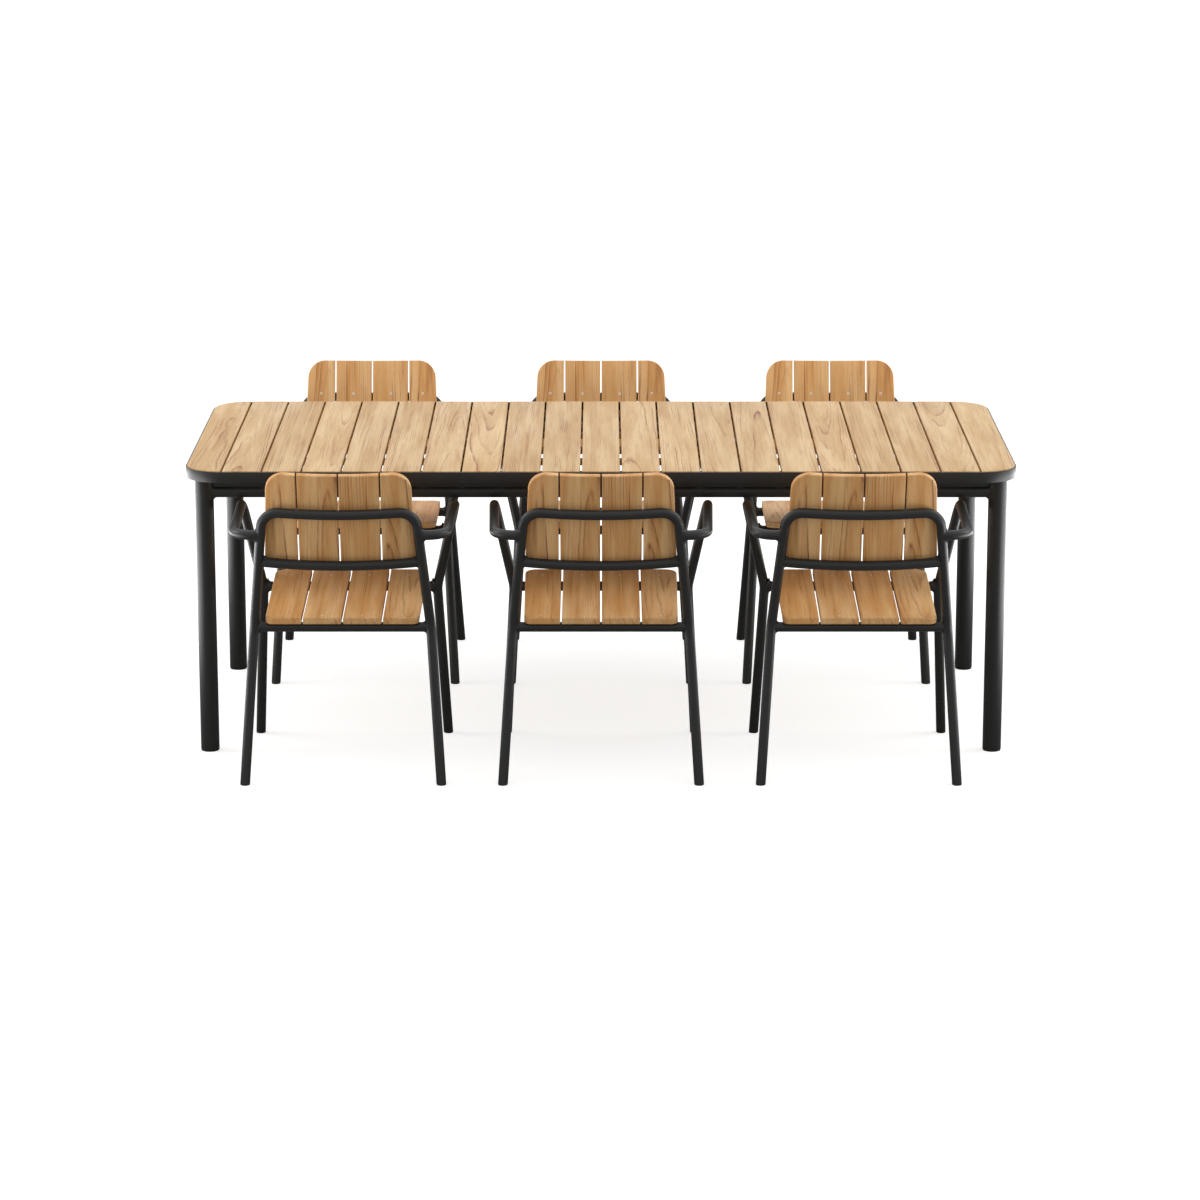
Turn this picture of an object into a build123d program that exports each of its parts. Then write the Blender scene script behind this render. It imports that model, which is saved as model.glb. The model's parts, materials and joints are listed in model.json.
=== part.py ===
"""Patio dining set: a slatted table with six armchairs, in millimetres.

The origin is on the floor under the middle of the table. +X runs along the table, +Z is up.
"""

import os
from math import asin, atan, copysign, cos, radians, sin, tan

from build123d import *

# Table top: slats across the table, held inside a flat-bar rim with round corners
table_length = 2130.0
table_depth = 945.0
table_height = 750.0
corner_radius = 97.0
rim_wall = 3.0
rim_height = 28.0
rim_step = 2.5  # the slats stand this far above the rim
slat_count = 21
slat_pitch = 101.8
slat_gap = 5.0
slat_thickness = 16.0
slat_edge = 2.0  # rounding of the slats' upper edges
wood_play = 0.5  # room between the slats and the rim

# Battens along the table, under the slats, and the steel that carries them
batten_rows = (101.5, 245.0, 407.0)  # distances of the battens from the middle
batten_width = 40.0
batten_thickness = 12.0
batten_length = 2080.0
crossbar_places = (228.6, 635.8)
crossbar_width = 30.0
crossbar_height = 22.0
bearer_width = 20.0
bar_wall = 2.0
weld_gap = 0.1  # the crossbars' ends stand this far off the bearers, inside the weld
plate_side = 106.0

# Table legs and the round aprons between them
leg_x = 1015.5
leg_y = 417.0
leg_diameter = 48.0
apron_diameter = 33.0
apron_z = 687.5
table_tube_wall = 2.5
foot_lift = 3.0  # thickness of the glide under every foot
glide_plug = 16.0  # depth of a glide's plug inside the tube
plug_play = 0.05

# Screws
screw_shank = 4.0
screw_head = 7.5
screw_head_height = 2.4
screw_bite = 12.0  # depth of the screw holes in the table's slats
plate_screw_inset = 10.0  # from the outer battens' middle to the screws in the corner plates
hole_play = 0.1
chair_screw_length = 25.0

# Chair tube frame; each chair has its own origin on the floor and faces +Y
chair_tube = 25.0
chair_wall = 2.0
rear_foot_x = 247.5
rear_foot_y = -240.5
rear_knee_x = 222.0
rear_knee_y = -168.0
rear_knee_z = 392.0
knee_radius = 120.0
back_corner_x = 190.0
back_corner_z = 708.5
back_corner_radius = 48.0
back_lean = 16.0  # degrees from upright
back_bow = 950.0  # radius of the bowed back
bow_reach = 28.0  # from the top corners back to where the rail's two halves would meet
lower_rail_z = 570.5
arm_z = 645.0
arm_rear_x = 265.0
arm_rear_radius = 54.0
arm_front_x = 275.0
arm_front_y = 143.0
arm_front_radius = 38.0
front_kink_x = 225.5
front_kink_y = 170.0
kink_radius = 90.0
front_foot_x = 247.5
front_foot_y = 249.5
foot_excess = 10.0  # tubes are made this much too long and cut level at the glides

# Chair wood
seat_slope = 4.04  # degrees, rising to the front
seat_rear_width = 386.0
seat_front_width = 394.0
seat_depth = 411.0
seat_overhang = 20.0  # behind the rear rail
seat_thickness = 18.0
seat_gap = 4.5
seat_pitch = 100.6
seat_corner_rear = 18.0
seat_corner_front = 30.0
seat_screw_x = (50.3, 151.0)
wood_edge = 3.0  # rounding of the seat's slats
back_thickness = 16.0
back_bottom_z = 551.0
back_height = 265.0
back_bottom_width = 380.0
back_top_width = 357.0
back_top_corner = 50.0
back_low_corner = 8.0
back_pitch = 103.3
back_gap = 4.0
back_screw_x = (53.0, 144.0)
top_screw_rise = 6.5  # of the upper screws above the top rail's middle

# Places of the chairs
chair_spacing = 650.0
chair_row_y = 500.0

chair_radius = chair_tube / 2
chair_bore = chair_tube - 2 * chair_wall
slat_bottom = table_height - slat_thickness
batten_bottom = slat_bottom - batten_thickness
rim_bottom = table_height - rim_step - rim_height
wood_length = table_length - 2 * (rim_wall + wood_play)
wood_depth = table_depth - 2 * (rim_wall + wood_play)
wood_radius = corner_radius - rim_wall - wood_play
hole_diameter = screw_shank + hole_play


def bent_tube(points, radii, outer, bore=0.0):
    """A round tube whose middle runs along straight stretches joined by tangent arcs."""
    with BuildPart() as tube:
        with BuildLine() as route:
            if radii:
                FilletPolyline(*points, radius=radii)
            else:
                Line(*points)
        with BuildSketch(Plane(origin=route.line @ 0, z_dir=route.line % 0)):
            Circle(outer / 2)
            if bore:
                Circle(bore / 2, mode=Mode.SUBTRACT)
        sweep()
    return tube.part


def mirrored_pair(points):
    """The points of half a symmetric route, followed by their mirror images."""
    return [*points, *[Vector(-p.X, p.Y, p.Z) for p in reversed(points[:-1])]]


def along(start, end, z):
    """The point at height z on the line through two points."""
    return start + (end - start) * ((z - start.Z) / (end.Z - start.Z))


# The table's wood: slats, battens and the screws' places
half_count = slat_count // 2
gap_places = [(k + 0.5) * slat_pitch for k in range(-half_count, half_count)]
slat_places = [k * slat_pitch for k in range(-half_count, half_count + 1)]
outer_row = batten_rows[-1]
inside_leg_x = leg_x - leg_diameter / 2 - screw_head - 4.0


plate_screw_y = outer_row - plate_screw_inset


def slat_screw_places():
    """Two screws each side in every slat; at a leg the outer one moves inwards, clear of it."""
    places = []
    for x in slat_places:
        for y in batten_rows[1:]:
            if abs(x) > inside_leg_x and y == outer_row:
                screw_x, screw_y = copysign(inside_leg_x, x), plate_screw_y
            else:
                screw_x, screw_y = x, y
            places += [(screw_x, screw_y), (screw_x, -screw_y)]
    return places


screw_places = slat_screw_places()

with BuildPart() as table_slats:
    with BuildSketch(Plane.XY.offset(slat_bottom)):
        RectangleRounded(wood_length, wood_depth, wood_radius)
        with Locations(*[(x, 0) for x in gap_places]):
            Rectangle(slat_gap, table_depth, mode=Mode.SUBTRACT)
    extrude(amount=slat_thickness)
    fillet(faces().group_by(Axis.Z)[-1].edges(), slat_edge)
    with BuildSketch(Plane.XY.offset(slat_bottom)):
        with Locations(*screw_places):
            Circle(hole_diameter / 2)
    extrude(amount=screw_bite, mode=Mode.SUBTRACT)

with BuildPart() as table_battens:
    with BuildSketch(Plane.XY.offset(batten_bottom)):
        with Locations(*[(0, side * y) for y in batten_rows for side in (-1, 1)]):
            Rectangle(batten_length, batten_width)
        with Locations(*screw_places):
            Circle(hole_diameter / 2, mode=Mode.SUBTRACT)
    extrude(amount=batten_thickness)

# The rim is a flat bar on edge, bent round the corners and welded into a ring
with BuildPart() as table_rim:
    with BuildSketch(Plane.XY.offset(rim_bottom)):
        RectangleRounded(table_length, table_depth, corner_radius)
        RectangleRounded(
            table_length - 2 * rim_wall,
            table_depth - 2 * rim_wall,
            corner_radius - rim_wall,
            mode=Mode.SUBTRACT,
        )
    extrude(amount=rim_height)

# Corner plates close the legs' tops and join them to the rim
plate_places = [(sx * inside_leg_x, sy * plate_screw_y) for sx in (-1, 1) for sy in (-1, 1)]
with BuildPart() as table_corner_plates:
    with BuildSketch(Plane.XY.offset(rim_bottom)):
        RectangleRounded(
            table_length - 2 * rim_wall, table_depth - 2 * rim_wall, corner_radius - rim_wall
        )
        Rectangle(table_length - 2 * plate_side, table_depth, mode=Mode.SUBTRACT)
        Rectangle(table_length, table_depth - 2 * plate_side, mode=Mode.SUBTRACT)
        with Locations(*plate_places):
            Circle(hole_diameter / 2, mode=Mode.SUBTRACT)
    extrude(amount=batten_bottom - rim_bottom)

# Legs: upright tubes from the glides to the corner plates
leg_places = {
    "table_leg_front_left": (-leg_x, -leg_y),
    "table_leg_front_right": (leg_x, -leg_y),
    "table_leg_back_left": (-leg_x, leg_y),
    "table_leg_back_right": (leg_x, leg_y),
}
with BuildPart() as table_leg:
    with BuildSketch(Plane.XY.offset(foot_lift)):
        Circle(leg_diameter / 2)
        Circle(leg_diameter / 2 - table_tube_wall, mode=Mode.SUBTRACT)
    extrude(amount=rim_bottom - foot_lift)

with BuildPart() as table_glides:
    with BuildSketch():
        with Locations(*leg_places.values()):
            Circle(leg_diameter / 2 - 1.0)
    extrude(amount=foot_lift)
    with BuildSketch(Plane.XY.offset(foot_lift)):
        with Locations(*leg_places.values()):
            Circle(leg_diameter / 2 - table_tube_wall - plug_play)
    extrude(amount=glide_plug)

# Aprons: round tubes between the legs, their ends shaped to the legs
with BuildPart() as leg_cores:
    with BuildSketch():
        with Locations(*leg_places.values()):
            Circle(leg_diameter / 2)
    extrude(amount=rim_bottom)

apron_spans = (
    (Plane.YZ.offset(-leg_x), leg_y, 2 * leg_x),
    (Plane.XZ.offset(-leg_y), leg_x, 2 * leg_y),
)
with BuildPart() as apron_cores:
    for end_plane, reach, span in apron_spans:
        with BuildSketch(end_plane):
            with Locations((-reach, apron_z), (reach, apron_z)):
                Circle(apron_diameter / 2)
        extrude(amount=span)

with BuildPart() as table_aprons:
    for end_plane, reach, span in apron_spans:
        with BuildSketch(end_plane):
            with Locations((-reach, apron_z), (reach, apron_z)):
                Circle(apron_diameter / 2)
                Circle(apron_diameter / 2 - table_tube_wall, mode=Mode.SUBTRACT)
        extrude(amount=span)
    add(leg_cores.part, mode=Mode.SUBTRACT)

# Support frame: bearers along the tops of the aprons, and crossbars that carry the battens
bearer_bottom = batten_bottom - crossbar_height
bearer_height = rim_bottom - bearer_bottom
crossbar_half = leg_y - bearer_width / 2 - weld_gap
with BuildPart() as table_support_frame:
    for end_plane, reach, span in apron_spans:
        with BuildSketch(end_plane):
            with Locations(*[(side * reach, bearer_bottom + bearer_height / 2) for side in (-1, 1)]):
                Rectangle(bearer_width, bearer_height)
                Rectangle(
                    bearer_width - 2 * bar_wall, bearer_height - 2 * bar_wall, mode=Mode.SUBTRACT
                )
        extrude(amount=span)
    with BuildSketch(Plane.XZ.offset(-crossbar_half)):
        with Locations(
            *[(side * x, batten_bottom - crossbar_height / 2)
              for x in crossbar_places for side in (-1, 1)]
        ):
            Rectangle(crossbar_width, crossbar_height)
            Rectangle(
                crossbar_width - 2 * bar_wall, crossbar_height - 2 * bar_wall, mode=Mode.SUBTRACT
            )
    extrude(amount=2 * crossbar_half)
    add(apron_cores.part, mode=Mode.SUBTRACT)
    add(leg_cores.part, mode=Mode.SUBTRACT)


def head_base(place):
    """Height of a screw head's upper face: under the batten, or under the corner plate."""
    return rim_bottom if place in plate_places else batten_bottom


with BuildPart() as table_screws:
    for place in screw_places:
        with BuildSketch(Plane.XY.offset(head_base(place) - screw_head_height)):
            with Locations(place):
                Circle(screw_head / 2)
        extrude(amount=screw_head_height)
        with BuildSketch(Plane.XY.offset(head_base(place))):
            with Locations(place):
                Circle(screw_shank / 2)
        extrude(amount=slat_bottom + screw_bite - 1.0 - head_base(place))

# The chair's back leans in a plane: across it, up it, and forwards to the sitter
lean = radians(back_lean)
half_turn = atan(bow_reach / back_corner_x)
apex_behind = back_bow * (1 / cos(half_turn) - 1)
corner_ahead = bow_reach - apex_behind
corner_y = rear_knee_y - (back_corner_z - rear_knee_z) * tan(lean)
back_plane = Plane(
    origin=(0, corner_y - corner_ahead * cos(lean), back_corner_z - corner_ahead * sin(lean)),
    x_dir=(-1, 0, 0),
    z_dir=(0, cos(lean), sin(lean)),
)


def on_back(across, up, forward):
    """A point given across, up and forward of the middle of the top rail."""
    return back_plane.from_local_coords((-across, up, forward))


def bow_depth(across, radius):
    """How far the bowed surface of this radius stands forward at a distance from the middle."""
    return back_bow - (radius**2 - across**2) ** 0.5


# Rear frame: one tube from foot to foot, over the seat knees and along the bowed top rail
knee_point = Vector(-rear_knee_x, rear_knee_y, rear_knee_z)
corner_point = Vector(-back_corner_x, corner_y, back_corner_z)
rear_foot_point = along(knee_point, Vector(-rear_foot_x, rear_foot_y, 0), -foot_excess)
rear_route = mirrored_pair(
    [rear_foot_point, knee_point, corner_point, on_back(0, 0, -apex_behind)]
)
rear_radii = [knee_radius, back_corner_radius, back_bow, back_corner_radius, knee_radius]
rear_core = bent_tube(rear_route, rear_radii, chair_tube)

# Front legs and arms: one tube each side, from the rear frame round to the front foot
seat_lift = chair_radius + seat_thickness
seat_tilt = radians(seat_slope)
seat_plane = Plane(
    origin=(0, rear_knee_y - seat_lift * sin(seat_tilt), rear_knee_z + seat_lift * cos(seat_tilt)),
    x_dir=(1, 0, 0),
    z_dir=(0, -sin(seat_tilt), cos(seat_tilt)),
)
front_rail_z = rear_knee_z + (front_kink_y - rear_knee_y) * tan(seat_tilt)
arm_weld = along(knee_point, corner_point, arm_z)
kink_point = Vector(-front_kink_x, front_kink_y, front_rail_z)
front_foot_point = along(kink_point, Vector(-front_foot_x, front_foot_y, 0), -foot_excess)
arm_route = [
    arm_weld,
    Vector(-arm_rear_x, arm_weld.Y, arm_z),
    Vector(-arm_front_x, arm_front_y, arm_z),
    kink_point,
    front_foot_point,
]
arm_radii = [arm_rear_radius, arm_front_radius, kink_radius]
arm_core = bent_tube(arm_route, arm_radii, chair_tube)

# Screw places: Z points out of the wood, towards the sitter
back_rows = (top_screw_rise, -(back_corner_z - lower_rail_z) / cos(lean))
back_face = back_bow - chair_radius - back_thickness


def back_screw_plane(across, up):
    """The plane on the front of the back at one screw, square to the bowed surface."""
    turn = asin(across / back_face)
    return Plane(
        origin=on_back(across, up, bow_depth(across, back_face)),
        x_dir=(0, -sin(lean), cos(lean)),
        z_dir=(-sin(turn), cos(turn) * cos(lean), cos(turn) * sin(lean)),
    )


front_rail_reach = (front_kink_y - rear_knee_y) / cos(seat_tilt)
back_screws = [
    back_screw_plane(side * across, up)
    for up in back_rows
    for across in back_screw_x
    for side in (-1, 1)
]
seat_screws = [
    seat_plane * Pos(side * across, reach, 0)
    for reach in (0, front_rail_reach)
    for across in seat_screw_x
    for side in (-1, 1)
]

with BuildPart() as rear_frame:
    add(bent_tube(rear_route, rear_radii, chair_tube, chair_bore))
    split(bisect_by=Plane.XY.offset(foot_lift), keep=Keep.TOP)
    with Locations(*back_screws):
        Hole(hole_diameter / 2, depth=back_thickness + chair_radius)

with BuildPart() as left_arm_and_leg:
    add(bent_tube(arm_route, arm_radii, chair_tube, chair_bore))
    split(bisect_by=Plane.XY.offset(foot_lift), keep=Keep.TOP)
    add(rear_core, mode=Mode.SUBTRACT)

with BuildPart() as right_arm_and_leg:
    add(mirror(left_arm_and_leg.part, about=Plane.YZ, mode=Mode.PRIVATE))

# Cross rails: the bowed lower back rail and two straight rails under the seat
lower_end = along(knee_point, corner_point, lower_rail_z)
lower_up = back_rows[1]
lower_reach = bow_depth(lower_end.X, back_bow)
rear_rail_ends = [Vector(side * rear_knee_x, rear_knee_y, rear_knee_z) for side in (-1, 1)]
front_rail_ends = [Vector(side * front_kink_x, front_kink_y, front_rail_z) for side in (-1, 1)]
with BuildPart() as cross_rails:
    with BuildLine() as lower_route:
        ThreePointArc(
            on_back(lower_end.X, lower_up, lower_reach),
            on_back(0, lower_up, 0),
            on_back(-lower_end.X, lower_up, lower_reach),
        )
    with BuildSketch(Plane(origin=lower_route.line @ 0, z_dir=lower_route.line % 0)):
        Circle(chair_radius)
        Circle(chair_bore / 2, mode=Mode.SUBTRACT)
    sweep()
    for ends in (rear_rail_ends, front_rail_ends):
        add(bent_tube(ends, [], chair_tube, chair_bore))
    add(rear_core, mode=Mode.SUBTRACT)
    add(arm_core, mode=Mode.SUBTRACT)
    add(mirror(arm_core, about=Plane.YZ, mode=Mode.PRIVATE), mode=Mode.SUBTRACT)
    with Locations(*back_screws):
        Hole(hole_diameter / 2, depth=back_thickness + chair_radius)
    with Locations(*seat_screws):
        Hole(hole_diameter / 2, depth=seat_lift)

# Seat: four slats across the rails, one rounded outline
with BuildPart() as seat_slats:
    with BuildSketch(seat_plane) as seat_outline:
        with BuildLine():
            Polyline(
                (-seat_rear_width / 2, -seat_overhang),
                (seat_rear_width / 2, -seat_overhang),
                (seat_front_width / 2, seat_depth - seat_overhang),
                (-seat_front_width / 2, seat_depth - seat_overhang),
                close=True,
            )
        make_face()
        fillet(seat_outline.vertices().group_by(Axis.Y)[0], seat_corner_rear)
        fillet(seat_outline.vertices().sort_by(Axis.Y)[-2:], seat_corner_front)
        with Locations(*[(k * seat_pitch, seat_depth / 2) for k in (-1, 0, 1)]):
            Rectangle(seat_gap, 2 * seat_depth, mode=Mode.SUBTRACT)
    extrude(amount=-seat_thickness)
    fillet(faces().filter_by(Axis((0, 0, 0), seat_plane.z_dir)).edges(), wood_edge)
    with Locations(*seat_screws):
        CounterSinkHole(
            hole_diameter / 2, (screw_head + hole_play) / 2, depth=2 * seat_thickness,
            counter_sink_angle=90,
        )

# Back: four slats bowed like the rails, one outline that narrows to round top corners
back_low = -(back_corner_z - back_bottom_z) / cos(lean)
back_high = back_low + back_height
with BuildPart() as back_slats:
    with BuildSketch(back_plane) as back_outline:
        with BuildLine():
            Polyline(
                (-back_bottom_width / 2, back_low),
                (back_bottom_width / 2, back_low),
                (back_top_width / 2, back_high),
                (-back_top_width / 2, back_high),
                close=True,
            )
        make_face()
        fillet(back_outline.vertices().group_by(Axis.Y)[-1], back_top_corner)
        fillet(back_outline.vertices().group_by(Axis.Y)[0], back_low_corner)
        with Locations(*[(k * back_pitch, back_low) for k in (-1, 0, 1)]):
            Rectangle(back_gap, 2 * back_height, mode=Mode.SUBTRACT)
    extrude(amount=back_corner_x)
    with BuildSketch(Plane(origin=on_back(0, back_low, back_bow), z_dir=back_plane.y_dir)):
        Circle(back_bow - chair_radius)
        Circle(back_face, mode=Mode.SUBTRACT)
    extrude(amount=back_height, mode=Mode.INTERSECT)
    with Locations(*back_screws):
        CounterSinkHole(
            hole_diameter / 2, (screw_head + hole_play) / 2, depth=2 * back_thickness,
            counter_sink_angle=90,
        )

# Countersunk screws through the wood into the rails
with BuildPart() as chair_screws:
    with Locations(*seat_screws, *back_screws):
        Cone(
            bottom_radius=screw_shank / 2,
            top_radius=screw_head / 2,
            height=(screw_head - screw_shank) / 2,
            align=(Align.CENTER, Align.CENTER, Align.MAX),
        )
        Cylinder(
            radius=screw_shank / 2,
            height=chair_screw_length,
            align=(Align.CENTER, Align.CENTER, Align.MAX),
        )

# Glides: a plug inside each tube's foot and a thin pad under it
with BuildPart() as foot_pads:
    for start, foot in ((knee_point, rear_foot_point), (kink_point, front_foot_point)):
        for side in (1, -1):
            ends = [Vector(side * p.X, p.Y, p.Z) for p in (foot, start)]
            add(bent_tube(ends, [], chair_tube - 1.0))
    split(bisect_by=Plane.XY, keep=Keep.TOP)
    split(bisect_by=Plane.XY.offset(foot_lift), keep=Keep.BOTTOM)

with BuildPart() as chair_glides:
    for start, foot in ((knee_point, rear_foot_point), (kink_point, front_foot_point)):
        for side in (1, -1):
            ends = [Vector(side * p.X, p.Y, p.Z) for p in (foot, start)]
            add(bent_tube(ends, [], chair_bore - 2 * plug_play))
    split(bisect_by=Plane.XY, keep=Keep.TOP)
    split(bisect_by=Plane.XY.offset(foot_lift + glide_plug), keep=Keep.BOTTOM)
    add(foot_pads.part)

# Every sub-part is written to its own file
table_parts = {
    "table_slats": table_slats,
    "table_battens": table_battens,
    "table_rim": table_rim,
    "table_corner_plates": table_corner_plates,
    "table_glides": table_glides,
    "table_aprons": table_aprons,
    "table_support_frame": table_support_frame,
    "table_screws": table_screws,
}
chair_parts = {
    "rear_frame": rear_frame,
    "left_arm_and_leg": left_arm_and_leg,
    "right_arm_and_leg": right_arm_and_leg,
    "cross_rails": cross_rails,
    "seat_slats": seat_slats,
    "back_slats": back_slats,
    "screws": chair_screws,
    "glides": chair_glides,
}
os.makedirs("parts", exist_ok=True)


def write_part(shape, name):
    """Label one sub-part and write it as a STEP file."""
    shape.label = name
    export_step(shape, f"parts/{name}.step")


for name, builder in table_parts.items():
    write_part(builder.part, name)
for name, (x, y) in leg_places.items():
    write_part(Pos(x, y, 0) * table_leg.part, name)
for row, side, turn in (("front", -1, 0), ("back", 1, 180)):
    for place, x in (("left", -chair_spacing), ("middle", 0), ("right", chair_spacing)):
        chair_place = Pos(x, side * chair_row_y, 0) * Rot(0, 0, turn)
        for name, builder in chair_parts.items():
            write_part(chair_place * builder.part, f"{row}_{place}_chair_{name}")
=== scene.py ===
import json
import math

import bpy
import numpy as np
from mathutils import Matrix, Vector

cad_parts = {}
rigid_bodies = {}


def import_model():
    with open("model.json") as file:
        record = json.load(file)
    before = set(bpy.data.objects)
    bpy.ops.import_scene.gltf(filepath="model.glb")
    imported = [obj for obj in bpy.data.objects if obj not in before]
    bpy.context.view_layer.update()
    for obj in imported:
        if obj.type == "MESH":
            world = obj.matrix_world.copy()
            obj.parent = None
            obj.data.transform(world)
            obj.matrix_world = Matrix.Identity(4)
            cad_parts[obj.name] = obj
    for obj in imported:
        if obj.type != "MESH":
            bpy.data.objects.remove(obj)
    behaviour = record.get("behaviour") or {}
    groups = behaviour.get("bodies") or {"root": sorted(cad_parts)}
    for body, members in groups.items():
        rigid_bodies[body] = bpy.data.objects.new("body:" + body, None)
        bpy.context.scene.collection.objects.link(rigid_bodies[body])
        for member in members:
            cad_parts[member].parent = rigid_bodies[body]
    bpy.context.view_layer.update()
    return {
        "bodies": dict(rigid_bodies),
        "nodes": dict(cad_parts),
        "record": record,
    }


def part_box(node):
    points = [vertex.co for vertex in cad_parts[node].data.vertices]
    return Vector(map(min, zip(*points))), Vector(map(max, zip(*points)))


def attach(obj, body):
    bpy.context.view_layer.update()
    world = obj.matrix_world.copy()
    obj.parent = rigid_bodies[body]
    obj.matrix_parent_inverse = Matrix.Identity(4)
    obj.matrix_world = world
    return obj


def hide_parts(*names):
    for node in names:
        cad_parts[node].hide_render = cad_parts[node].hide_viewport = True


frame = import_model()
chairNames = [b for b in frame["bodies"] if b != "table"]
print("frame:", len(frame["nodes"]), "nodes,", len(chairNames), "chairs")


def unit(v):
    v = np.asarray(v, float)
    return v / np.linalg.norm(v, axis=-1, keepdims=True)


def flatten(vectors, axis):
    # what is left of each vector square to the axis
    return vectors - (vectors @ axis)[..., None] * axis


def gridFaces(rows, columns, closed=False, looped=False):
    # quads between the neighbouring points of a grid; closed joins the last column to the first,
    # and looped the last row to the first
    row = np.arange(rows if looped else rows - 1)[:, None]
    column = np.arange(columns if closed else columns - 1)[None, :]
    below, beside = (row + 1) % rows * columns, (column + 1) % columns
    row = row * columns
    corners = [row + column, row + beside, below + beside, below + column]
    return np.stack(corners, -1).reshape(-1, 4)


def outward(points, quads, caps):
    # turns every face round when the closed shape's volume, summed over its corners, is negative
    a, b, c, d = (points[quads[:, n]] for n in range(4))
    volume = np.einsum("ij,ij->", a, np.cross(b, c) + np.cross(c, d))
    for cap in caps:
        p = points[cap]
        volume += np.einsum("j,ij->", p[0], np.cross(p[1:-1], p[2:]))
    if volume < 0:
        return quads[:, ::-1], [cap[::-1] for cap in caps]
    return quads, list(caps)


def solid(points, quads, caps=(), **fields):
    # one closed shape: points, outward faces, and a value for each point in every named field
    points = np.asarray(points, float)
    quads, caps = outward(points, quads, caps)
    return {"points": points, "quads": quads, "caps": caps, "fields": fields}


def flipX(shape):
    # the same shape on the other side, its faces turned to point outwards again
    points = shape["points"] * np.array([-1, 1, 1])
    return solid(points, shape["quads"], shape["caps"], **shape["fields"])


def piece(name, solids, material, body, nodes, turn=1.0, offset=0.0):
    # one Blender object from many closed shapes, riding on its body and standing for its CAD nodes
    points = np.concatenate([s["points"] for s in solids]) * turn + offset
    faces, start = [], 0
    for s in solids:
        faces += (s["quads"] + start).tolist()
        faces += [(np.asarray(cap) + start).tolist() for cap in s["caps"]]
        start += len(s["points"])
    mesh = bpy.data.meshes.new(name)
    mesh.from_pydata(points.tolist(), [], faces)
    for field in solids[0]["fields"]:
        values = np.concatenate([np.asarray(s["fields"][field], float) for s in solids])
        kind, key = ("FLOAT_VECTOR", "vector") if values.ndim == 2 else ("FLOAT", "value")
        mesh.attributes.new(field, kind, "POINT").data.foreach_set(key, values.ravel())
    mesh.polygons.foreach_set("use_smooth", np.ones(len(mesh.polygons), bool))
    mesh.set_sharp_from_angle(angle=math.radians(40))  # only the ends of tubes and screws are sharper
    mesh.materials.append(material)
    made = bpy.data.objects.new(name, mesh)
    bpy.context.scene.collection.objects.link(made)
    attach(made, body)
    if nodes:
        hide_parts(*nodes)


def plainOutline(x0, x1, y0, y1, rows=2):
    # a rectangle as rows of y, left x and right x; an inset of d moves every side inwards by d
    def outline(d):
        y = np.linspace(y0 + d, y1 - d, rows)
        return y, np.full(rows, x0 + d), np.full(rows, x1 - d)
    return outline


def edgeOutline(x0, plate, side):
    # the outermost board of a tapered plate: a straight inner side at x0, and an outer side that
    # follows the plate's sloping side, x = halfLow + slope*(y - low), between its two corner arcs
    low, high = plate["low"], plate["high"]
    slope = (plate["halfHigh"] - plate["halfLow"]) / (high - low)
    stretch = math.hypot(1, slope)
    sideWay = -math.atan(slope)
    lowAngle = np.linspace(-math.pi / 2, sideWay, 14)
    highAngle = np.linspace(sideWay, math.pi / 2, 20)

    def arc(centreY, radius, angle, d):
        centreX = plate["halfLow"] + slope * (centreY - low) - radius * stretch
        return centreX + (radius - d) * np.cos(angle), centreY + (radius - d) * np.sin(angle)

    def outline(d):
        lowX, lowY = arc(low + plate["cornerLow"], plate["cornerLow"], lowAngle, d)
        highX, highY = arc(high - plate["cornerHigh"], plate["cornerHigh"], highAngle, d)
        sideY = np.linspace(lowY[-1], highY[0], 12)[1:-1]
        sideX = plate["halfLow"] + slope * (sideY - low) - d * stretch
        y = np.concatenate([lowY, sideY, highY])
        outer = np.concatenate([lowX, sideX, highX])
        inner = np.full(len(y), x0 + d)
        return (y, inner, outer) if side > 0 else (y, -outer, -inner)
    return outline


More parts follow.
